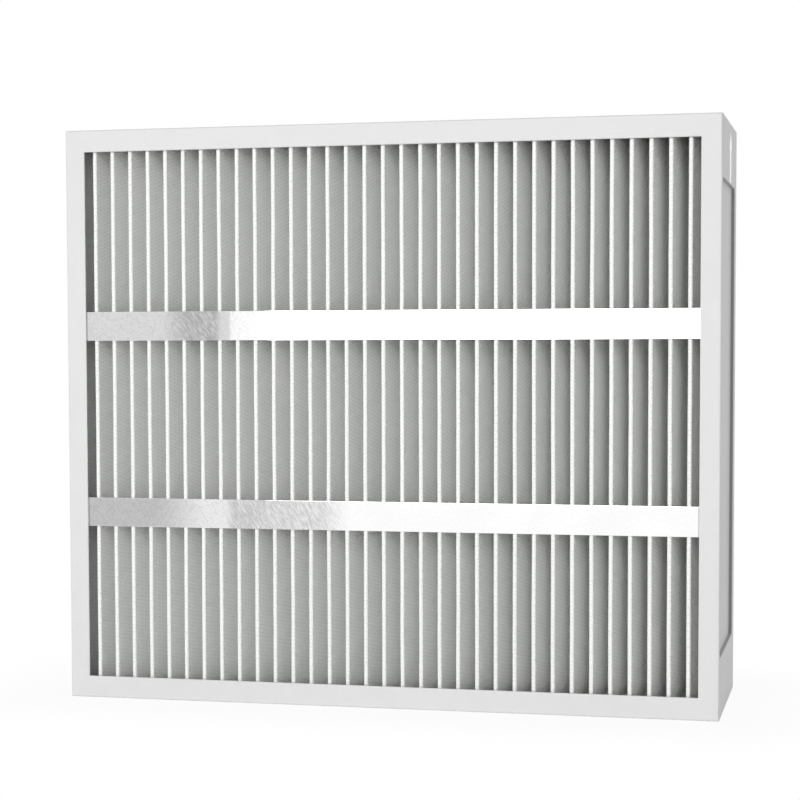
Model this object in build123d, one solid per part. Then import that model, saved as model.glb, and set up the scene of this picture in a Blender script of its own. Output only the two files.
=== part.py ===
from build123d import *
import math
import os

# Washable pleated air filter: a deep folded media pack in a box frame of hemmed,
# mitred sheet metal channels, held front and rear by two flat cross straps.
# X runs across the face, -Y is the air entering side, Z is up.
# The origin is the middle of the underside, so the filter stands on Z = 0.

# Frame, outside sizes
frame_width = 564.0
frame_height = 495.0
frame_depth = 178.0

# Frame sheet and its folds
sheet = 1.0
bend_radius = 0.4
side_flange = 17.0
top_flange = 18.9
hem_return = 9.0
hem_gap = 0.2

# Stiffening field pressed inwards in both side channels
recess_depth = 2.9
recess_slope = 25.0
recess_corner = 6.0
recess_front_rim = 6.0
recess_rear_rim = 22.0
side_land = 50.5

# Gusset folded into each corner behind the side lands
gusset_margin = 8.0
gusset_bend = 2.0
gusset_front_gap = 14.0

# Cross straps
strap_height = 25.0
strap_thickness = 1.2
strap_lap = 8.0
strap_edge_round = 0.3
upper_strap_rise = 78.0
lower_strap_drop = 84.0

# Folded media pack
media_thickness = 2.0
pleat_pitch = 16.05
pack_clearance = 0.3

# Sealing of the pack to the frame
seal_bed_height = 8.0
edge_strip_least = 2.0
edge_strip_width = 24.0
edge_strip_margin = 6.0
lap_overhang = 2.0

# Places that follow from the sizes above
half_width = frame_width / 2
half_depth = frame_depth / 2
mid_height = frame_height / 2
hem_thickness = 2 * sheet + hem_gap
hem_radius = (sheet + hem_gap) / 2
strap_face = half_depth - hem_thickness
pack_face = strap_face - strap_thickness - pack_clearance
side_inner = half_width - recess_depth - sheet
fold_room = side_inner - edge_strip_least - media_thickness
folds_each_side = int(fold_room // pleat_pitch)
last_fold = folds_each_side * pleat_pitch
lap_face = last_fold + media_thickness
strip_rear = half_depth - recess_rear_rim - edge_strip_margin
strip_front = strip_rear - edge_strip_width
pack_bottom = sheet + seal_bed_height
pack_height = frame_height - 2 * pack_bottom
gusset_leg = side_land - gusset_margin
upper_strap_height = mid_height + upper_strap_rise
lower_strap_height = mid_height - lower_strap_drop


def channel_section(flange):
    """Closed face of one hemmed channel, its web along Y and its flanges up."""
    middle = sheet / 2
    wall = half_depth - middle
    hem = wall - 2 * hem_radius
    fold = flange - middle - hem_radius
    tip = flange - hem_return
    corner = bend_radius + middle
    rise = Line((-wall, fold), (-wall, middle + corner))
    bend = CenterArc((-wall + corner, middle + corner), corner, 180, 90)
    web = Line((-wall + corner, middle), (0, middle))
    turn = CenterArc((-wall + hem_radius, fold), hem_radius, 0, 180)
    back = Line((-hem, tip), (-hem, fold))
    half = trace([back, turn, rise, bend, web], line_width=sheet)
    return Plane.YZ * (half + mirror(half, about=Plane.YZ))


def mitred_channel(length, flange, run):
    """Channel along X with web underneath, its ends cut to meet the next side.

    The cut runs back by run over the height of the flange.
    """
    channel = extrude(channel_section(flange), length / 2, both=True)
    foot = length / 2
    mitre = Polyline((-foot, 0), (foot, 0), (foot - run, flange), (run - foot, flange), close=True)
    keep = extrude(Plane.XZ * make_face(mitre), frame_depth, both=True)
    return channel & keep


def pressed_field(channel):
    """Presses the stiffening field into a side channel's web, at even wall thickness."""
    length = frame_height - 2 * side_land
    width = frame_depth - recess_front_rim - recess_rear_rim
    middle = (recess_front_rim - recess_rear_rim) / 2
    slope = math.radians(recess_slope)
    growth = sheet / math.cos(slope) - sheet * math.tan(slope)
    pocket = RectangleRounded(length, width, recess_corner)
    boss = RectangleRounded(length + 2 * growth, width + 2 * growth, recess_corner + growth)
    pressed_in = extrude(Pos(0, middle, 0) * pocket, recess_depth, taper=recess_slope)
    pushed_out = extrude(Pos(0, middle, sheet) * boss, recess_depth, taper=recess_slope)
    return channel + pushed_out - pressed_in


def bottom_panel():
    return mitred_channel(frame_width, top_flange, side_flange)


def top_panel():
    return Pos(0, 0, frame_height) * Rot(0, 180, 0) * bottom_panel()


def side_channel():
    return pressed_field(mitred_channel(frame_height, side_flange, top_flange))


def right_panel():
    return Pos(half_width, 0, mid_height) * Rot(0, -90, 0) * side_channel()


def left_panel():
    return mirror(right_panel(), about=Plane.YZ)


def corner_gusset(side, level):
    """Gusset in one corner: side is -1 or 1, level is -1 at the bottom and 1 at the top."""
    inset = 1.5 * sheet
    reach = sheet + gusset_leg
    corner = (half_width - inset, mid_height - inset)
    leg_end = (half_width - inset, mid_height - reach)
    arm_end = (half_width - reach, mid_height - inset)
    path = FilletPolyline(leg_end, corner, arm_end, radius=gusset_bend)
    section = Plane.XZ * trace(path, line_width=sheet)
    gusset = extrude(section, half_depth - gusset_front_gap, both=True)
    if side < 0:
        gusset = mirror(gusset, about=Plane.YZ)
    if level < 0:
        gusset = mirror(gusset, about=Plane.XY)
    return Pos(0, 0, mid_height) * gusset


def cross_strap(face, height):
    """Flat strap behind the hems: face is -1 on the front and 1 on the rear."""
    length = frame_width - 2 * side_flange + 2 * strap_lap
    strap = Box(length, strap_thickness, strap_height)
    strap = fillet(strap.edges().filter_by(Axis.X), strap_edge_round)
    return Pos(0, face * (strap_face - strap_thickness / 2), height) * strap


def flank_angle(rise):
    """Angle past square at which a flank leaves its fold, for creases rise apart in depth."""
    along = math.atan2(rise, pleat_pitch / 2)
    return along - math.acos(media_thickness / math.hypot(rise, pleat_pitch / 2))


def skin(stations):
    """Edges through the stations of one skin: creases are points, folds are three points."""
    edges = []
    before = stations[0]
    for station in stations[1:]:
        if len(station) == 3:
            enter, tip, leave = station
            edges.append(Line(before, enter))
            edges.append(ThreePointArc(enter, tip, leave))
            before = leave
        else:
            edges.append(Line(before, station))
            before = station
    return edges


def pack_section():
    """Face of the folded sheet, from one side lap to the other.

    Each skin runs round its own folds in arcs and down to the creases of the other side's
    folds, so the sheet keeps one thickness all the way.
    """
    bend = pack_face - media_thickness
    angle = flank_angle(2 * bend)
    across = media_thickness * math.cos(angle)
    along = media_thickness * math.sin(angle)
    lap_rear = strip_rear + lap_overhang
    front = [(-lap_face, lap_rear)]
    rear = [(-last_fold, lap_rear)]
    for number in range(-2 * folds_each_side, 2 * folds_each_side + 1):
        face = -1 if number % 2 == 0 else 1
        centre = number * pleat_pitch / 2
        height = face * (bend - along)
        enter = (centre - across, height)
        leave = (centre + across, height)
        if number == -2 * folds_each_side:
            enter = (-lap_face, -bend)
        if number == 2 * folds_each_side:
            leave = (lap_face, -bend)
        folded, creased = (front, rear) if face < 0 else (rear, front)
        folded.append((enter, (centre, face * pack_face), leave))
        creased.append((centre, face * bend))
    front.append((lap_face, lap_rear))
    rear.append((last_fold, lap_rear))
    ends = [Line(front[0], rear[0]), Line(front[-1], rear[-1])]
    return make_face(skin(front) + skin(rear) + ends)


def pleated_media():
    """One sheet folded into deep pleats, as tall as the space between the seal beds."""
    return Pos(0, 0, pack_bottom) * extrude(pack_section(), pack_height)


def seal_bed(level):
    """Poured bed that the pack stands in, around the gussets: level is -1 or 1."""
    length = frame_width - 4 * sheet
    bed = Box(length, 2 * strap_face, seal_bed_height)
    height = mid_height + level * (mid_height - sheet - seal_bed_height / 2)
    return Pos(0, 0, height) * bed - corner_gusset(-1, level) - corner_gusset(1, level)


def edge_strip(side):
    """Foam strip between the pack's side lap and the pressed field: side is -1 or 1."""
    strip = Box(side_inner - lap_face, edge_strip_width, pack_height)
    across = side * (side_inner + lap_face) / 2
    return Pos(across, (strip_front + strip_rear) / 2, mid_height) * strip


def write(node, shape):
    shape.label = node
    export_step(shape, f"parts/{node}.step")


os.makedirs("parts", exist_ok=True)
write("top_panel", top_panel())
write("bottom_panel", bottom_panel())
write("left_panel", left_panel())
write("right_panel", right_panel())
write("pleated_media", pleated_media())
write("upper_front_strap", cross_strap(-1, upper_strap_height))
write("lower_front_strap", cross_strap(-1, lower_strap_height))
write("upper_rear_strap", cross_strap(1, upper_strap_height))
write("lower_rear_strap", cross_strap(1, lower_strap_height))
write("top_seal_bed", seal_bed(1))
write("bottom_seal_bed", seal_bed(-1))
write("left_edge_strip", edge_strip(-1))
write("right_edge_strip", edge_strip(1))
for level, level_name in ((1, "top"), (-1, "bottom")):
    for side, side_name in ((-1, "left"), (1, "right")):
        write(f"{level_name}_{side_name}_gusset", corner_gusset(side, level))
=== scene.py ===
import math

import bpy
from mathutils import Matrix, Vector


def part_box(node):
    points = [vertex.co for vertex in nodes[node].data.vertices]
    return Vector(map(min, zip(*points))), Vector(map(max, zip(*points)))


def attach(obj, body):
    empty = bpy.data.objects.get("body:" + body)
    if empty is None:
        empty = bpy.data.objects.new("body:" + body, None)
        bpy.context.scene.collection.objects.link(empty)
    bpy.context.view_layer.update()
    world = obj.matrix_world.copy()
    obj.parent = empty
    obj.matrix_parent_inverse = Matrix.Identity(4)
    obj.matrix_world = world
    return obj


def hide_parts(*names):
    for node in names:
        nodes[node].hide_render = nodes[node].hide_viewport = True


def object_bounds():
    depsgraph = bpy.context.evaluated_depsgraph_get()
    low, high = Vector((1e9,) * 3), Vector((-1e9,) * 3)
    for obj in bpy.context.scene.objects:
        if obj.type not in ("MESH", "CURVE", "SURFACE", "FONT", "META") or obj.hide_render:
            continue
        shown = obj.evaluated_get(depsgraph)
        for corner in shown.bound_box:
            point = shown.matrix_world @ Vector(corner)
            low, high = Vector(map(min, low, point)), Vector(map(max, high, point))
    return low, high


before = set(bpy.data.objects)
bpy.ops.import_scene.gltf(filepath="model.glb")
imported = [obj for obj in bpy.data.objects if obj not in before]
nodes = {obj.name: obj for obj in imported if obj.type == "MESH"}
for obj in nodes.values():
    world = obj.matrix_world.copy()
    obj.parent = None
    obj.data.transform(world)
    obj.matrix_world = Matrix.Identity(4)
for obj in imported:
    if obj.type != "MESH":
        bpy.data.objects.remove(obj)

cad_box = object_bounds()

# Sizes of the filter, in metres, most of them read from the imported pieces
case_low, case_high = cad_box
pack_low, pack_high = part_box("pleated_media")
strip_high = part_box("right_edge_strip")[1]
cloth_thickness = 0.0020
side_folds = 17
fold_pitch = (pack_high.x - cloth_thickness) / side_folds
pack_height = pack_high.z - pack_low.z
lap_overhang = 0.002

# Mesh of the cloth: points round each fold, rows up its height, and the half turns round a fold
# that count as its outside and that a thread takes
fold_points = 5
cloth_rows = 49
fold_half_turn = math.radians(80)
thread_half_turn = math.radians(86)

# Weave of the filter cloth
thread_pitch = 0.0022
thread_rise = 0.00022
thread_depth = 1.5
thread_taper = 6.0
rib_pitch = 0.0033
rib_lean = 0.19
cloth_through = 0.5

# Patches in which the one or the other set of ribs stands out, and what counts as a gap
patch_squeeze = 0.25
patch_fineness = 150.0
patch_bend = 0.002
patch_change = (0.35, 0.65)
thread_relief = 0.2
gap_relief = (0.1, -0.6)

# Sway of the folds: its size, how far apart neighbours are in the noise, and its pace going up
fold_sway = 0.00022
sway_stretch = 4.0
sway_stride = 3.7
sway_pace = 9.0

# Painted shade on the pack's outermost flanks, as distances in from its sides
outermost_start = 0.0105
outermost_full = 0.0095

# Mottling and hair scratches that the finishes share
fine_share = 0.35
scratch_turns = (0.45, -0.7, 1.25)
scratch_wander = 22.0
scratch_edge = 0.1

# Pressed field in the side panels, the soft edges of its masks, and the painted shade on its walls and on its
# floor along them
field_depth = 0.0029
field_land = 0.0505
field_front_rim = 0.006
field_rear_rim = 0.022
field_edge = 0.0008
wall_start = 0.0003
wall_edge = 0.0002
floor_start = 0.0001
shade_from_rear = 0.045
shade_from_ends = 0.009
side_flange = 0.017

# Rubbed stretch of each strap, darkened partly as painted reflection, and where the straps go behind the
# flanges, with their painted shadow
upper_rubbed_reflection = (-0.170, -0.149)
lower_rubbed_reflection = (-0.131, -0.060)
lower_reflection_share = 0.85
worn_end = -0.13
worn_fade = 0.1
mid_height = (case_low.z + case_high.z) / 2
strap_end = case_high.x - side_flange
# Painted shadow of the flange on each strap's ends: where it starts and where it is full
flange_shadow_start = 0.0013
flange_shadow_full = 0.0003

# Colours of the finishes
pure_white = (1, 1, 1, 1)
coat_colours = ((0.727, 0.727, 0.729, 1), (0.745, 0.745, 0.745, 1))
scuff_colour = (0.62, 0.62, 0.62, 1)
# Painted shade on the pressed field's floor along its walls
wall_foot_shade_colour = (0.42, 0.42, 0.42, 1)
# Painted shade on the pressed field's sloping walls
wall_shade_colour = (0.24, 0.24, 0.24, 1)
metal_colours = ((1.0, 1.0, 1.0, 1), (0.975, 0.975, 0.977, 1))
scratch_colour = (0.78, 0.78, 0.785, 1)
# Streaky rubbed stretches of the straps, darker partly as painted dark reflection
rubbed_reflection_colour = (0.5, 0.5, 0.505, 1)
# Painted shadow of the flanges on the straps' ends
flange_shadow_colour = (0.3, 0.3, 0.3, 1)
cloth_colours = ((0.989, 0.993, 0.986, 1), (0.997, 0.998, 0.995, 1))
gap_colour = (0.6, 0.64, 0.59, 1)
# Painted shade of the outermost flanks beside the frame
outermost_shade_colour = (0.44, 0.46, 0.43, 1)
compound_colours = ((0.38, 0.39, 0.39, 1), (0.47, 0.48, 0.48, 1))
foam_colours = ((0.1, 0.1, 0.1, 1), (0.26, 0.26, 0.265, 1))
zinc_colours = ((0.52, 0.53, 0.55, 1), (0.66, 0.67, 0.68, 1))
zinc_scratch_colour = (0.8, 0.8, 0.8, 1)
film_colours = ((0.95, 0.95, 0.95, 1), (0.985, 0.985, 0.985, 1))

# Arrow that shows which way up the filter stands
arrow_height = 0.043
arrow_width = 0.034
arrow_stem = 0.018
arrow_head = 0.015
arrow_top = 0.0065
arrow_centre = 0.009
film_thickness = 0.00006

# Camera at the photograph's place, angles in degrees, its centre and focal length in pixels
photo_pixels = 800
camera_place = (0.4020, -1.8077, 0.3151)
camera_turn = 13.779
camera_tilt = -3.351
camera_roll = -0.20
focal_pixels = 2093.7
centre_pixel = (360, 460)
sensor_width = 36.0

# Studio: its sky, floor and lamp
sky_front = 0.34
sky_rear = 1.0
sky_span = (-0.2, 0.9)
floor_radius = 1.6
floor_steps = 96
floor_shade = 0.93
shadow_reach = 0.15
shadow_white = 0.92
key_level = 6.7
key_size = (1.5, 1.8)
key_place = (-0.22, -3.0, 0.92)
key_target = (0.0, 0.0, 0.25)

# Cards: where they stand, and where and how their grey changes going right
card_plane = -1.6
card_left = -2.0
card_middle = 0.2
card_high = 0.8
card_low = -0.3
card_step = (-0.745, -0.634)
upper_card_edge = -0.606
upper_card_levels = (0.71, 0.71)
upper_card_fade = (upper_card_edge, 0.0)
lower_card_levels = (0.54, 0.84)
lower_card_fade = (-0.634, -0.39)


class Net:
    """Adds nodes to one node tree and joins them: a socket as a value becomes a link."""

    def __init__(self, tree):
        self.tree = tree

    def feed(self, socket, value):
        if isinstance(value, bpy.types.NodeSocket):
            self.tree.links.new(value, socket)
        else:
            socket.default_value = value

    def add(self, kind, inputs=None, **settings):
        node = self.tree.nodes.new(kind)
        for name, value in settings.items():
            setattr(node, name, value)
        for name, value in (inputs or {}).items():
            self.feed(node.inputs[name], value)
        return node

    def math(self, operation, *values):
        node = self.tree.nodes.new("ShaderNodeMath")
        node.operation = operation
        for socket, value in zip(node.inputs, values):
            self.feed(socket, value)
        return node.outputs[0]

    def vector(self, x=0.0, y=0.0, z=0.0):
        return self.add("ShaderNodeCombineXYZ", {"X": x, "Y": y, "Z": z}).outputs[0]

    def parts(self, vector):
        return self.add("ShaderNodeSeparateXYZ", {"Vector": vector}).outputs

    def noise(self, position, scale, detail=2.0, distortion=0.0):
        inputs = {"Vector": position, "Scale": scale, "Detail": detail, "Distortion": distortion}
        return self.add("ShaderNodeTexNoise", inputs).outputs["Fac"]

    def grain(self, position, turn, length, fineness):
        """Noise drawn out by length along one direction of the face, turned down from level."""
        stretch = self.vector(length, 1.0, 1.0)
        inputs = {"Vector": position, "Rotation": (0.0, turn, 0.0), "Scale": stretch}
        turned = self.add("ShaderNodeMapping", inputs, vector_type="TEXTURE")
        return self.noise(turned.outputs[0], fineness, detail=1.0)

    def ramp(self, value, start, end, low=0.0, high=1.0):
        """Smooth rise from low at start to high at end."""
        inputs = {"Value": value, "From Min": start, "From Max": end, "To Min": low, "To Max": high}
        return self.add("ShaderNodeMapRange", inputs, interpolation_type="SMOOTHSTEP").outputs[0]

    def spread(self, value, base, change):
        """Base plus change times the value."""
        return self.math("MULTIPLY_ADD", value, change, base)

    def blend(self, share, first, second):
        """Mix of two colours. The Mix node's colour sockets are its inputs 6 and 7 and output 2."""
        node = self.add("ShaderNodeMix", data_type="RGBA")
        self.feed(node.inputs[0], share)
        self.feed(node.inputs[6], first)
        self.feed(node.inputs[7], second)
        return node.outputs[2]

    def tint(self, colour, mask, most, to):
        """Colour drawn towards another by a mask, by the share most where the mask is full."""
        return self.blend(self.math("MULTIPLY", mask, most), colour, to)


def new_group(name, kind, inputs, outputs):
    """Empty node group with named sockets: returns its net, its inputs and its output node."""
    tree = bpy.data.node_groups.new(name, kind)
    for socket, value in inputs.items():
        if value == "material":
            tree.interface.new_socket(socket, in_out="INPUT", socket_type="NodeSocketMaterial")
            continue
        sort = "NodeSocketVector" if value == "vector" else "NodeSocketFloat"
        if isinstance(value, int):
            sort = "NodeSocketInt"
        made = tree.interface.new_socket(socket, in_out="INPUT", socket_type=sort)
        if value != "vector":
            made.default_value = value
    for socket, sort in outputs.items():
        tree.interface.new_socket(socket, in_out="OUTPUT", socket_type=sort)
    net = Net(tree)
    return net, net.add("NodeGroupInput").outputs, net.add("NodeGroupOutput").inputs


# Shader groups that several finishes share


def mottling_group():
    """Soft cloudy change of shade, broad and fine together, around 0.5."""
    net, given, out = new_group(
        "Mottling", "ShaderNodeTree",
        {"Position": "vector", "Broad": 9.0, "Fine": 160.0},
        {"Shade": "NodeSocketFloat"})
    broad = net.noise(given["Position"], given["Broad"], detail=3.0, distortion=0.4)
    fine = net.noise(given["Position"], given["Fine"])
    base = net.math("MULTIPLY", broad, 1 - fine_share)
    net.feed(out["Shade"], net.spread(fine, base, change=fine_share))
    return net.tree


def scratches_group():
    """Hair scratches: short bent strokes that run three ways, more of them where Share is high."""
    net, given, out = new_group(
        "Scratches", "ShaderNodeTree",
        {"Position": "vector", "Fineness": 400.0, "Length": 9.0, "Share": 0.4, "Bend": 0.012},
        {"Mask": "NodeSocketFloat"})
    position = given["Position"]
    wander = net.add("ShaderNodeTexNoise", {"Vector": position, "Scale": scratch_wander, "Detail": 1.0})
    shift = net.add("ShaderNodeVectorMath", {0: wander.outputs["Color"], "Scale": given["Bend"]},
                    operation="SCALE")
    bent = net.add("ShaderNodeVectorMath", {0: position, 1: shift.outputs[0]}, operation="ADD")
    least = net.spread(given["Share"], base=0.75, change=-0.3)
    full = net.math("ADD", least, scratch_edge)
    strokes = []
    for turn in scratch_turns:
        grain = net.grain(bent.outputs[0], turn, given["Length"], given["Fineness"])
        strokes.append(net.ramp(grain, least, full))
    both = net.math("MAXIMUM", strokes[0], strokes[1])
    net.feed(out["Mask"], net.math("MAXIMUM", both, strokes[2]))
    return net.tree


def weave_group():
    """Weave read along the cloth: two crossing sets of slanting ribs, and faint threads.

    In patches the one set of ribs stands out, and between them the other.
    """
    net, given, out = new_group(
        "Weave", "ShaderNodeTree",
        {"Cloth": "vector", "Rib": rib_pitch, "Lean": rib_lean, "Thread": thread_pitch},
        {"Relief": "NodeSocketFloat", "Gap": "NodeSocketFloat"})
    along, up, unused = net.parts(given["Cloth"])
    drawn_out = net.vector(net.math("MULTIPLY", along, patch_squeeze), up)
    patch = net.noise(drawn_out, patch_fineness)
    wander = net.spread(patch, base=up, change=patch_bend)
    leaned = net.math("MULTIPLY", along, given["Lean"])
    turn = net.math("DIVIDE", 2 * math.pi, given["Rib"])
    ribs = net.math("SINE", net.math("MULTIPLY", net.math("SUBTRACT", wander, leaned), turn))
    crossing = net.math("SINE", net.math("MULTIPLY", net.math("ADD", wander, leaned), turn))
    thread_turn = net.math("DIVIDE", 2 * math.pi, given["Thread"])
    warp = net.math("SINE", net.math("MULTIPLY", along, thread_turn))
    weft = net.math("SINE", net.math("MULTIPLY", up, thread_turn))
    threads = net.math("MULTIPLY", net.math("MULTIPLY", warp, weft), thread_relief)
    share = net.ramp(patch, *patch_change, *patch_change)
    raised = net.math("MULTIPLY", ribs, share)
    crossed = net.math("MULTIPLY", crossing, net.math("SUBTRACT", 1.0, share))
    relief = net.math("ADD", threads, net.math("ADD", crossed, raised))
    net.feed(out["Relief"], relief)
    net.feed(out["Gap"], net.ramp(relief, *gap_relief))
    return net.tree


# Finishes


def new_finish(name):
    """Material with an empty tree around one Principled shader."""
    finish = bpy.data.materials.new(name)
    finish.use_nodes = True
    net = Net(finish.node_tree)
    shader = finish.node_tree.nodes["Principled BSDF"]
    position = net.add("ShaderNodeTexCoord").outputs["Object"]
    return finish, net, shader, position


def place_group(net, group, inputs):
    node = net.add("ShaderNodeGroup", node_tree=group)
    for name, value in inputs.items():
        net.feed(node.inputs[name], value)
    return node.outputs


def mottled(net, groups, position, broad, fine):
    """Cloudy shade from the shared group."""
    inputs = {"Position": position, "Broad": broad, "Fine": fine}
    return place_group(net, groups["mottling"], inputs)["Shade"]


def scratched(net, groups, position, fineness, length, share, bend):
    """Mask of hair scratches from the shared group."""
    inputs = {"Position": position, "Fineness": fineness, "Length": length, "Share": share, "Bend": bend}
    return place_group(net, groups["scratches"], inputs)["Mask"]


def bump(net, shader, height, depth, strength):
    inputs = {"Height": height, "Distance": depth, "Strength": strength}
    normal = net.add("ShaderNodeBump", inputs).outputs["Normal"]
    net.feed(shader.inputs["Normal"], normal)
    return normal


def within(net, value, low, high, soft, soft_end=None):
    """Mask that is 1 between low and high, and fades to 0 over soft before and soft_end after."""
    fall = soft if soft_end is None else soft_end
    return net.math("MULTIPLY", net.ramp(value, low - soft, low), net.ramp(value, high + fall, high))


def field_painted_shade(net, position):
    """Masks of painted shade in the pressed field: on its sloping walls, and on its floor along them."""
    across, along, up = net.parts(position)
    sunk = net.math("SUBTRACT", case_high.x, net.math("ABSOLUTE", across))
    front, rear = case_low.y + field_front_rim, case_high.y - field_rear_rim
    low, high = case_low.z + field_land, case_high.z - field_land
    wall_end = field_depth - wall_start
    inside = net.math("MULTIPLY", within(net, along, front, rear, field_edge),
                      within(net, up, low, high, field_edge))
    wall = net.math("MULTIPLY", inside, within(net, sunk, wall_start, wall_end, wall_edge))
    # Middle of the field's floor, left free of the painted shade along the walls
    middle = net.math("MULTIPLY", within(net, along, front, rear - shade_from_rear, shade_from_rear),
                      within(net, up, low + shade_from_ends, high - shade_from_ends, shade_from_ends))
    floor = net.math("MULTIPLY", inside, net.ramp(sunk, wall_end, field_depth - floor_start))
    wall_foot_shade = net.math("MULTIPLY", floor, net.math("SUBTRACT", 1.0, middle))
    return wall, wall_foot_shade


def powder_coat(groups):
    """Matt light grey-white powder coat with a fine orange peel, faint scuffs, and painted shade in the
    pressed field.
    """
    finish, net, shader, position = new_finish("powder_coat")
    shade = mottled(net, groups, position, broad=6.0, fine=60.0)
    scuffs = scratched(net, groups, position, fineness=220.0, length=16.0, share=0.2, bend=0.03)
    coat = net.blend(net.ramp(shade, start=0.35, end=0.65), *coat_colours)
    coat = net.tint(coat, scuffs, most=0.12, to=scuff_colour)
    wall, wall_foot_shade = field_painted_shade(net, position)
    # Painted shade: the field's floor is darkened along its walls.
    coat = net.tint(coat, wall_foot_shade, most=0.35, to=wall_foot_shade_colour)
    # Painted shade: the field's sloping walls are darkened nearly to dark grey.
    coat = net.tint(coat, wall, most=0.9, to=wall_shade_colour)
    net.feed(shader.inputs["Base Color"], coat)
    rough = net.spread(shade, base=0.46, change=0.16)
    smoother = net.math("MULTIPLY", scuffs, 0.12)
    net.feed(shader.inputs["Roughness"], net.math("SUBTRACT", rough, smoother))
    peel = net.noise(position, scale=900.0, detail=3.0)
    bump(net, shader, peel, depth=0.00006, strength=0.5)
    shader.inputs["Specular IOR Level"].default_value = 0.4
    return finish


def strap_metal(groups):
    """Bright rolled strap: near mirror, with hair scratches to the left, one rubbed stretch darkened partly
    as painted reflection, and a painted flange shadow at its ends.
    """
    finish, net, shader, position = new_finish("strap_metal")
    marks = scratched(net, groups, position, fineness=1100.0, length=12.0, share=0.6, bend=0.03)
    haze = mottled(net, groups, position, broad=26.0, fine=300.0)
    across, unused, up = net.parts(position)
    worn = net.ramp(across, start=worn_end + worn_fade, end=worn_end, low=0.1, high=0.5)
    metal = net.blend(net.ramp(haze, start=0.42, end=0.62), *metal_colours)
    metal = net.tint(metal, marks, most=worn, to=scratch_colour)
    on_upper = net.math("GREATER_THAN", up, mid_height)
    on_lower = net.math("SUBTRACT", 1.0, on_upper)
    # Rubbed stretches: streaky wear, darkened partly as painted dark reflection
    upper = net.math("MULTIPLY", on_upper, within(net, across, *upper_rubbed_reflection, soft=0.03, soft_end=0.008))
    lower = net.math("MULTIPLY", on_lower, within(net, across, *lower_rubbed_reflection, soft=0.01, soft_end=0.035))
    lower = net.math("MULTIPLY", lower, lower_reflection_share)
    grain = net.grain(position, turn=1.0, length=5.0, fineness=950.0)
    streaks = net.ramp(grain, start=0.32, end=0.66, low=0.3, high=0.8)
    rubbed_reflection = net.math("MULTIPLY", net.math("MAXIMUM", upper, lower), streaks)
    metal = net.blend(rubbed_reflection, metal, rubbed_reflection_colour)
    # Painted shadow of the flange on the strap, just before the strap goes behind it
    aside = net.math("ABSOLUTE", across)
    flange_shadow = net.ramp(aside, start=strap_end - flange_shadow_start, end=strap_end - flange_shadow_full)
    metal = net.tint(metal, flange_shadow, most=0.6, to=flange_shadow_colour)
    net.feed(shader.inputs["Base Color"], metal)
    net.feed(shader.inputs["Roughness"], net.spread(marks, base=0.015, change=0.03))
    shader.inputs["Metallic"].default_value = 1.0
    bump(net, shader, marks, depth=0.000002, strength=0.02)
    return finish


def filter_cloth(groups):
    """White synthetic filter cloth, faintly green grey, that lets some light through."""
    finish, net, shader, position = new_finish("filter_cloth")
    cloth = net.add("ShaderNodeAttribute", attribute_name="cloth").outputs["Vector"]
    weave = place_group(net, groups["weave"], {"Cloth": cloth})
    shade = mottled(net, groups, position, broad=14.0, fine=260.0)
    colour = net.blend(net.ramp(shade, start=0.3, end=0.7), *cloth_colours)
    colour = net.tint(colour, weave["Gap"], most=0.24, to=gap_colour)
    # Painted shade on the outermost flanks, where the flanges shade them
    aside = net.math("ABSOLUTE", net.parts(position)[0])
    outermost_shade = net.ramp(aside, pack_high.x - outermost_start, pack_high.x - outermost_full)
    colour = net.tint(colour, outermost_shade, most=0.24, to=outermost_shade_colour)
    net.feed(shader.inputs["Base Color"], colour)
    net.feed(shader.inputs["Roughness"], net.spread(shade, base=0.82, change=0.1))
    shader.inputs["Specular IOR Level"].default_value = 0.15
    normal = bump(net, shader, weave["Relief"], depth=0.00015, strength=0.5)
    through = net.add("ShaderNodeBsdfTranslucent", {"Color": colour, "Normal": normal})
    flat = net.add("ShaderNodeAttribute", attribute_name="flank").outputs["Fac"]
    share = net.math("MULTIPLY", flat, cloth_through)
    mixed = net.add("ShaderNodeMixShader", {0: share, 1: shader.outputs[0], 2: through.outputs[0]})
    net.feed(finish.node_tree.nodes["Material Output"].inputs["Surface"], mixed.outputs[0])
    return finish


def seal_compound(groups):
    """Grey poured sealing compound, slightly glossy and uneven."""
    finish, net, shader, position = new_finish("seal_compound")
    shade = mottled(net, groups, position, broad=40.0, fine=420.0)
    net.feed(shader.inputs["Base Color"], net.blend(shade, *compound_colours))
    net.feed(shader.inputs["Roughness"], net.spread(shade, base=0.3, change=0.25))
    bump(net, shader, shade, depth=0.0006, strength=0.5)
    return finish


def edge_foam(groups):
    """Dark grey closed cell foam with fine pores in its skin."""
    finish, net, shader, position = new_finish("edge_foam")
    shade = mottled(net, groups, position, broad=60.0, fine=900.0)
    pores = net.add("ShaderNodeTexVoronoi", {"Vector": position, "Scale": 900.0}).outputs["Distance"]
    net.feed(shader.inputs["Base Color"], net.blend(net.ramp(pores, start=0.1, end=0.7), *foam_colours))
    net.feed(shader.inputs["Roughness"], net.spread(shade, base=0.85, change=0.1))
    bump(net, shader, pores, depth=0.0004, strength=0.7)
    return finish


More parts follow.
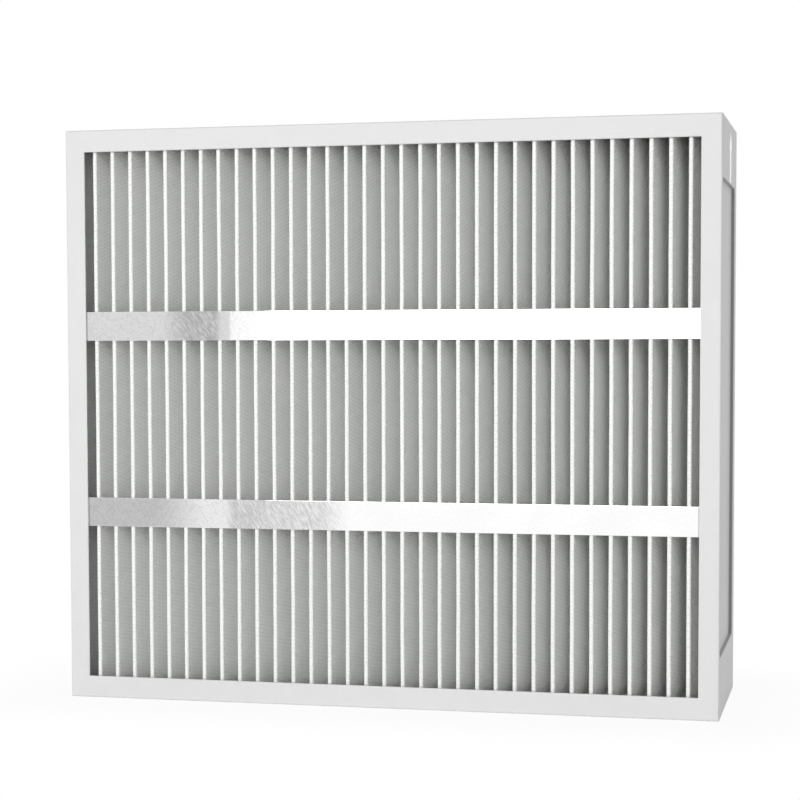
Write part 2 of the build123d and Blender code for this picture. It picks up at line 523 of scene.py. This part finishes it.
def zinc_steel(groups):
    """Zinc coated steel of the corner gussets, with soft spangles."""
    finish, net, shader, position = new_finish("zinc_steel")
    spangle = net.add("ShaderNodeTexVoronoi", {"Vector": position, "Scale": 110.0}).outputs["Color"]
    shade = mottled(net, groups, position, broad=20.0, fine=240.0)
    marks = scratched(net, groups, position, fineness=300.0, length=12.0, share=0.3, bend=0.012)
    facet = net.parts(spangle)[0]
    colour = net.blend(facet, *zinc_colours)
    colour = net.tint(colour, marks, most=0.3, to=zinc_scratch_colour)
    net.feed(shader.inputs["Base Color"], colour)
    rough = net.spread(shade, base=0.3, change=0.1)
    net.feed(shader.inputs["Roughness"], net.spread(facet, base=rough, change=0.12))
    shader.inputs["Metallic"].default_value = 1.0
    bump(net, shader, facet, depth=0.00003, strength=0.3)
    return finish


def arrow_film(groups):
    """Glossy white film of the arrow, a little uneven where it was smoothed on."""
    finish, net, shader, position = new_finish("arrow_film")
    shade = mottled(net, groups, position, broad=120.0, fine=900.0)
    net.feed(shader.inputs["Base Color"], net.blend(net.ramp(shade, start=0.3, end=0.7), *film_colours))
    net.feed(shader.inputs["Roughness"], net.spread(shade, base=0.03, change=0.06))
    shader.inputs["Specular IOR Level"].default_value = 0.8
    bump(net, shader, shade, depth=0.000005, strength=0.3)
    return finish


# Folded cloth, made by Geometry Nodes


def sway_group():
    """How far a fold leans off its straight line at a height: small, slow and its own."""
    net, given, out = new_group(
        "Fold sway", "GeometryNodeTree",
        {"Fold": 0.0, "Height": 0.0, "Sway": fold_sway},
        {"Offset": "NodeSocketVector"})
    stride = net.math("MULTIPLY", given["Fold"], sway_stride)
    place = net.vector(stride, 0.0, net.math("MULTIPLY", given["Height"], sway_pace))
    wander = net.add("ShaderNodeTexNoise", {"Vector": place, "Scale": 1.0, "Detail": 1.0})
    aside = net.math("SUBTRACT", net.parts(wander.outputs["Color"])[0], 0.5)
    across = net.math("MULTIPLY", aside, net.math("MULTIPLY", given["Sway"], sway_stretch))
    net.feed(out["Offset"], net.vector(across, 0.0, 0.0))
    return net.tree


def folded_cloth_tree(sway):
    """The whole folded sheet from one grid box: columns go along the cloth, rows go up."""
    net, given, out = new_group(
        "Folded cloth", "GeometryNodeTree",
        {"Pitch": 0.016, "Thickness": 0.0015, "Reach": 0.085, "Side folds": 17, "Fold points": 5,
         "Rows": 40, "Foot": 0.0, "Height": 0.4, "Lap end": 0.05, "Crease": 0.00004, "Sway": 0.0,
         "Finish": "material"},
        {"Mesh": "NodeSocketGeometry"})
    folds = net.math("MULTIPLY_ADD", given["Side folds"], 4.0, 1.0)
    columns = net.math("MULTIPLY_ADD", folds, given["Fold points"], 2.0)
    last_column = net.math("SUBTRACT", columns, 1.0)
    last_row = net.math("SUBTRACT", given["Rows"], 1.0)
    grid = net.add("GeometryNodeMeshCube", {
        "Size": net.vector(last_column, 1.0, last_row),
        "Vertices X": columns, "Vertices Y": 2, "Vertices Z": given["Rows"]})
    across, skin_side, up = net.parts(net.add("GeometryNodeInputPosition").outputs[0])
    column = net.math("ROUND", net.math("MULTIPLY_ADD", last_column, 0.5, across))
    row = net.math("MULTIPLY_ADD", last_row, 0.5, up)
    skin = net.math("SIGN", skin_side)
    inner = net.math("MINIMUM", net.math("MAXIMUM", net.math("SUBTRACT", column, 1.0), 0.0),
                     net.math("SUBTRACT", last_column, 2.0))
    fold = net.math("FLOOR", net.math("DIVIDE", net.math("ADD", inner, 0.5), given["Fold points"]))
    step = net.math("SUBTRACT", inner, net.math("MULTIPLY", fold, given["Fold points"]))
    share = net.math("DIVIDE", step, net.math("SUBTRACT", given["Fold points"], 1.0))
    number = net.math("SUBTRACT", fold, net.math("MULTIPLY", given["Side folds"], 2.0))
    face = net.math("MULTIPLY_ADD", net.math("MODULO", fold, 2.0), 2.0, -1.0)
    bend = net.math("SUBTRACT", given["Reach"], given["Thickness"])
    half_gap = net.math("MULTIPLY_ADD", given["Pitch"], 0.5, net.math("MULTIPLY", given["Thickness"], -1.0))
    lean = net.math("DIVIDE", half_gap, net.math("MULTIPLY", bend, 2.0))
    turn = net.math("SUBTRACT", math.pi / 2, lean)
    angle = net.math("MULTIPLY", net.math("MULTIPLY_ADD", share, 2.0, -1.0), turn)
    outside = net.math("GREATER_THAN", net.math("MULTIPLY", face, skin), 0.0)
    radius = net.math("MAXIMUM", net.math("MULTIPLY", outside, given["Thickness"]), given["Crease"])
    centre = net.math("MULTIPLY", number, net.math("MULTIPLY", given["Pitch"], 0.5))
    fold_x = net.math("MULTIPLY_ADD", radius, net.math("SINE", angle), centre)
    fold_y = net.math("MULTIPLY", face, net.math("MULTIPLY_ADD", radius, net.math("COSINE", angle), bend))
    from_middle = net.math("SUBTRACT", column, net.math("MULTIPLY", last_column, 0.5))
    lapped = net.math("GREATER_THAN", net.math("ABSOLUTE", from_middle),
                      net.math("MULTIPLY_ADD", last_column, 0.5, -0.5))
    side = net.math("SIGN", from_middle)
    on_front = net.math("LESS_THAN", skin, 0.0)
    lap_x = net.math("MULTIPLY", side, net.math("MULTIPLY_ADD", on_front, given["Thickness"],
                                                net.math("MULTIPLY", given["Pitch"], given["Side folds"])))
    x = net.add("GeometryNodeSwitch", {"Switch": lapped, "False": fold_x, "True": lap_x}, input_type="FLOAT")
    y = net.add("GeometryNodeSwitch", {"Switch": lapped, "False": fold_y, "True": given["Lap end"]},
                input_type="FLOAT")
    rise = net.math("MULTIPLY", net.math("DIVIDE", row, last_row), given["Height"])
    height = net.math("ADD", rise, given["Foot"])
    swayed = net.add("GeometryNodeGroup", node_tree=sway)
    net.feed(swayed.inputs["Fold"], number)
    net.feed(swayed.inputs["Height"], height)
    net.feed(swayed.inputs["Sway"], given["Sway"])
    stretch = net.math("MULTIPLY_ADD", bend, 2.0, net.math("MULTIPLY", given["Thickness"], math.pi / 2))
    round_fold = net.math("DIVIDE", net.math("MULTIPLY", given["Thickness"], math.pi), stretch)
    turned = net.math("MULTIPLY", share, round_fold)
    along = net.math("MULTIPLY", net.math("ADD", number, turned), stretch)
    marked = net.add("GeometryNodeStoreNamedAttribute", {
        "Geometry": grid.outputs["Mesh"], "Name": "cloth", "Value": net.vector(along, rise, 0.0)},
        data_type="FLOAT_VECTOR", domain="POINT")
    near_tip = net.math("LESS_THAN", net.math("ABSOLUTE", angle), fold_half_turn)
    on_fold = net.math("MULTIPLY", outside, near_tip)
    flank = net.add("GeometryNodeStoreNamedAttribute", {
        "Geometry": marked.outputs[0], "Name": "flank", "Value": net.math("SUBTRACT", 1.0, on_fold)},
        data_type="FLOAT", domain="POINT")
    placed = net.add("GeometryNodeSetPosition", {
        "Geometry": flank.outputs[0], "Position": net.vector(x.outputs[0], y.outputs[0], height),
        "Offset": swayed.outputs["Offset"]})
    smooth = net.add("GeometryNodeSetShadeSmooth", {"Geometry": placed.outputs[0], "Shade Smooth": True})
    real = net.add("GeometryNodeRealizeInstances", {"Geometry": smooth.outputs[0]})
    dressed = net.add("GeometryNodeSetMaterial", {"Geometry": real.outputs[0], "Material": given["Finish"]})
    net.feed(out["Mesh"], dressed.outputs[0])
    return net.tree


def fold_threads_tree(sway):
    """Threads that stand proud where the cloth turns round each fold of one face."""
    net, given, out = new_group(
        "Fold threads", "GeometryNodeTree",
        {"Pitch": 0.016, "Radius": 0.0015, "Reach": 0.085, "Folds": 35, "Face": -1.0, "Foot": 0.0,
         "Height": 0.4, "Thread": 0.0022, "Rise": 0.0002, "Arc points": 5, "Slant": 0.0006,
         "Sway": 0.0, "Finish": "material"},
        {"Mesh": "NodeSocketGeometry"})
    count = net.math("FLOOR", net.math("DIVIDE", given["Height"], given["Thread"]))
    bar = net.add("GeometryNodeMeshCylinder", {
        "Vertices": 3, "Side Segments": net.math("SUBTRACT", given["Arc points"], 1.0),
        "Radius": 1.0, "Depth": 2.0}, fill_type="NGON")
    local = net.parts(net.add("GeometryNodeInputPosition").outputs[0])
    angle = net.math("MULTIPLY", local[2], thread_half_turn)
    proud = net.math("GREATER_THAN", local[1], 0.5)
    sunk = net.math("MULTIPLY", given["Rise"], -thread_depth)
    lift = net.add("GeometryNodeSwitch", {"Switch": proud, "False": sunk, "True": given["Rise"]},
                   input_type="FLOAT")
    fade = net.math("SUBTRACT", 1.0, net.math("POWER", net.math("ABSOLUTE", local[2]), thread_taper))
    radius = net.math("MULTIPLY_ADD", lift.outputs[0], fade, given["Radius"])
    x = net.math("MULTIPLY", radius, net.math("SINE", angle))
    bend = net.math("SUBTRACT", given["Reach"], given["Radius"])
    y = net.math("MULTIPLY", given["Face"], net.math("MULTIPLY_ADD", radius, net.math("COSINE", angle), bend))
    width = net.math("MULTIPLY", given["Thread"], 0.5)
    z = net.math("MULTIPLY_ADD", local[0], width, net.math("MULTIPLY", local[2], given["Slant"]))
    thread = net.add("GeometryNodeSetPosition", {
        "Geometry": bar.outputs["Mesh"], "Position": net.vector(x, y, z)})
    grid = net.add("GeometryNodeMeshGrid", {
        "Size X": net.math("MULTIPLY", given["Pitch"], net.math("SUBTRACT", given["Folds"], 1.0)),
        "Size Y": net.math("MULTIPLY", given["Thread"], net.math("SUBTRACT", count, 1.0)),
        "Vertices X": given["Folds"], "Vertices Y": count})
    at = net.parts(net.add("GeometryNodeInputPosition").outputs[0])
    middle = net.math("MULTIPLY_ADD", given["Height"], 0.5, given["Foot"])
    stations = net.add("GeometryNodeSetPosition", {
        "Geometry": grid.outputs["Mesh"], "Position": net.vector(at[0], 0.0, net.math("ADD", at[1], middle))})
    copies = net.add("GeometryNodeInstanceOnPoints", {
        "Points": stations.outputs[0], "Instance": thread.outputs[0]})
    real = net.add("GeometryNodeRealizeInstances", {"Geometry": copies.outputs[0]})
    final = net.parts(net.add("GeometryNodeInputPosition").outputs[0])
    number = net.math("ROUND", net.math("DIVIDE", final[0], net.math("MULTIPLY", given["Pitch"], 0.5)))
    swayed = net.add("GeometryNodeGroup", node_tree=sway)
    net.feed(swayed.inputs["Fold"], number)
    net.feed(swayed.inputs["Height"], final[2])
    net.feed(swayed.inputs["Sway"], given["Sway"])
    outward = net.add("GeometryNodeFlipFaces", {
        "Mesh": real.outputs[0], "Selection": net.math("GREATER_THAN", given["Face"], 0.0)})
    leaned = net.add("GeometryNodeSetPosition", {
        "Geometry": outward.outputs[0], "Offset": swayed.outputs["Offset"]})
    smooth = net.add("GeometryNodeSetShadeSmooth", {"Geometry": leaned.outputs[0], "Shade Smooth": True})
    dressed = net.add("GeometryNodeSetMaterial", {"Geometry": smooth.outputs[0], "Material": given["Finish"]})
    net.feed(out["Mesh"], dressed.outputs[0])
    return net.tree


def grow(name, tree, values):
    """Runs a Geometry Nodes tree with these values and keeps the result as a plain mesh."""
    seed = bpy.data.objects.new(name + "_seed", bpy.data.meshes.new(name + "_seed"))
    bpy.context.scene.collection.objects.link(seed)
    modifier = seed.modifiers.new("Grow", "NODES")
    modifier.node_group = tree
    for item in tree.interface.items_tree:
        if item.in_out == "INPUT" and item.name in values:
            modifier[item.identifier] = values[item.name]
    graph = bpy.context.evaluated_depsgraph_get()
    mesh = bpy.data.meshes.new_from_object(seed.evaluated_get(graph))
    mesh.name = name
    bpy.data.objects.remove(seed)
    piece = bpy.data.objects.new(name, mesh)
    bpy.context.scene.collection.objects.link(piece)
    return piece


def plain_mesh(name, points, faces, finish):
    mesh = bpy.data.meshes.new(name)
    mesh.from_pydata(points, [], faces)
    mesh.materials.append(finish)
    piece = bpy.data.objects.new(name, mesh)
    bpy.context.scene.collection.objects.link(piece)
    return piece


def up_arrow(finish):
    """Flat arrow of thin film, a stem with a head, high on the right side's upper land."""
    wall = case_high.x
    top = case_high.z - arrow_top
    neck = top - arrow_head
    foot = top - arrow_height
    half, stem = arrow_width / 2, arrow_stem / 2
    outline = [(-stem, foot), (stem, foot), (stem, neck), (half, neck), (0, top), (-half, neck),
               (-stem, neck)]
    count = len(outline)
    points = []
    for lift in (-film_thickness, film_thickness):
        points += [(wall + lift, arrow_centre + y, z) for y, z in outline]
    faces = [list(range(count, 2 * count)), list(range(count - 1, -1, -1))]
    faces += [(i, (i + 1) % count, count + (i + 1) % count, count + i) for i in range(count)]
    return plain_mesh("up_arrow", points, faces, finish)


# Studio


def bare_finish(name):
    """Material without a shader: returns it, its net and the socket of its surface."""
    finish = bpy.data.materials.new(name)
    finish.use_nodes = True
    tree = finish.node_tree
    tree.nodes.remove(tree.nodes["Principled BSDF"])
    return finish, Net(tree), tree.nodes["Material Output"].inputs["Surface"]


def seen_rays(net):
    """Mask that is 1 for what the camera sees, directly, mirrored or through something."""
    path = net.add("ShaderNodeLightPath").outputs
    mirrored = net.math("MAXIMUM", path["Is Glossy Ray"], path["Is Transmission Ray"])
    return net.math("MAXIMUM", path["Is Camera Ray"], mirrored)


def studio_world():
    """Even sky for the light, and plain white for what the camera and polished metal see."""
    world = bpy.data.worlds.new("studio")
    bpy.context.scene.world = world
    world.use_nodes = True
    net = Net(world.node_tree)
    toward = net.parts(net.add("ShaderNodeTexCoord").outputs["Generated"])[1]
    sky = net.ramp(toward, *sky_span, sky_front, sky_rear)
    background = world.node_tree.nodes["Background"]
    background.inputs["Color"].default_value = pure_white
    net.feed(background.inputs["Strength"], net.math("MAXIMUM", seen_rays(net), sky))


def studio_floor():
    """Pale round floor that shows white to the camera and keeps a soft shadow by the filter."""
    finish, net, surface = bare_finish("studio_floor")
    across, along, unused = net.parts(net.add("ShaderNodeTexCoord").outputs["Object"])
    beside = net.math("MAXIMUM", net.math("SUBTRACT", net.math("ABSOLUTE", across), case_high.x), 0.0)
    before = net.math("MAXIMUM", net.math("SUBTRACT", net.math("ABSOLUTE", along), case_high.y), 0.0)
    away = net.math("SQRT", net.math("ADD", net.math("POWER", beside, 2.0), net.math("POWER", before, 2.0)))
    whiteness = net.ramp(away, 0.0, shadow_reach, shadow_white, 1.0)
    plain = net.add("ShaderNodeBsdfDiffuse", {"Color": (floor_shade, floor_shade, floor_shade, 1)})
    white = net.add("ShaderNodeEmission", {"Color": pure_white, "Strength": 1.0})
    shown = net.math("MULTIPLY", seen_rays(net), whiteness)
    mixed = net.add("ShaderNodeMixShader", {0: shown, 1: plain.outputs[0], 2: white.outputs[0]})
    net.feed(surface, mixed.outputs[0])
    turns = [2 * math.pi * i / floor_steps for i in range(floor_steps)]
    rim = [(floor_radius * math.cos(turn), floor_radius * math.sin(turn), 0) for turn in turns]
    plain_mesh("studio_floor", rim, [list(range(floor_steps))], finish)


def studio_card(name, low, high, edge, levels, fade):
    """Grey card left of the camera that only polished metal sees.

    Going right, its grey rises from the first level to the second over card_step, then to white
    over fade.
    """
    finish, net, surface = bare_finish(name)
    across = net.parts(net.add("ShaderNodeTexCoord").outputs["Object"])[0]
    grey = net.ramp(across, *card_step, *levels)
    level = net.math("ADD", grey, net.ramp(across, *fade, 0.0, 1.0 - levels[1]))
    glow = net.add("ShaderNodeEmission", {"Color": pure_white, "Strength": level})
    net.feed(surface, glow.outputs[0])
    points = [(card_left, card_plane, low), (edge, card_plane, low), (edge, card_plane, high),
              (card_left, card_plane, high)]
    card = plain_mesh(name, points, [(0, 1, 2, 3)], finish)
    card.visible_camera = False
    card.visible_diffuse = False
    card.visible_shadow = False


def area_lamp(name, place, size, level, target):
    """Rectangular lamp with a plain brightness of level, where 1 is white."""
    lamp = bpy.data.lights.new(name, "AREA")
    lamp.shape = "RECTANGLE"
    lamp.size, lamp.size_y = size
    lamp.energy = level * math.pi * size[0] * size[1]
    holder = bpy.data.objects.new(name, lamp)
    bpy.context.scene.collection.objects.link(holder)
    holder.location = place
    aim = Vector(target) - Vector(place)
    holder.rotation_euler = aim.to_track_quat("-Z", "Y").to_euler()
    holder.visible_camera = False


def photo_camera():
    """Camera at the photograph's place, with its turn, tilt, roll and framing."""
    turn, tilt, roll = (math.radians(a) for a in (camera_turn, camera_tilt, camera_roll))
    ahead = Vector((-math.sin(turn) * math.cos(tilt), math.cos(turn) * math.cos(tilt), math.sin(tilt)))
    level = Vector((math.cos(turn), math.sin(turn), 0))
    rise = level.cross(ahead)
    right = level * math.cos(roll) + rise * math.sin(roll)
    up = rise * math.cos(roll) - level * math.sin(roll)
    camera = bpy.data.cameras.new("photo_camera")
    camera.sensor_width = sensor_width
    camera.lens = focal_pixels / photo_pixels * sensor_width
    camera.shift_x = 0.5 - centre_pixel[0] / photo_pixels
    camera.shift_y = centre_pixel[1] / photo_pixels - 0.5
    holder = bpy.data.objects.new("photo_camera", camera)
    bpy.context.scene.collection.objects.link(holder)
    facing = Matrix((right, up, -ahead)).transposed().to_4x4()
    holder.matrix_world = Matrix.Translation(camera_place) @ facing
    bpy.context.scene.camera = holder


def dress(node, finish):
    """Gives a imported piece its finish."""
    slots = nodes[node].data.materials
    slots.clear()
    slots.append(finish)


groups = {"mottling": mottling_group(), "scratches": scratches_group(), "weave": weave_group()}
cloth = filter_cloth(groups)
finishes = {
    "panel": powder_coat(groups),
    "strap": strap_metal(groups),
    "media": cloth,
    "bed": seal_compound(groups),
    "strip": edge_foam(groups),
    "gusset": zinc_steel(groups),
}
for node in nodes:
    dress(node, finishes[node.split("_")[-1]])

sway = sway_group()
pack = {"Pitch": fold_pitch, "Reach": pack_high.y, "Foot": pack_low.z, "Height": pack_height,
        "Sway": fold_sway, "Finish": cloth}
media = grow("folded_media", folded_cloth_tree(sway), {
    **pack, "Thickness": cloth_thickness, "Side folds": side_folds, "Fold points": fold_points,
    "Rows": cloth_rows, "Lap end": strip_high.y + lap_overhang})
threads = []
thread_tree = fold_threads_tree(sway)
for name, face, folds in (("front", -1.0, 2 * side_folds + 1), ("rear", 1.0, 2 * side_folds)):
    threads.append(grow(name + "_fold_threads", thread_tree, {
        **pack, "Radius": cloth_thickness, "Folds": folds, "Face": face, "Thread": thread_pitch,
        "Rise": thread_rise}))
arrow = up_arrow(arrow_film(groups))

for piece in (media, *threads):
    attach(piece, "root")
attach(arrow, "root")
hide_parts("pleated_media")

studio_world()
studio_floor()
studio_card("upper_card", card_middle, card_high, upper_card_edge, upper_card_levels, upper_card_fade)
studio_card("lower_card", card_low, card_middle, lower_card_fade[1], lower_card_levels, lower_card_fade)
area_lamp("key_lamp", key_place, key_size, key_level, key_target)
photo_camera()
bpy.context.scene.view_settings.view_transform = "Standard"
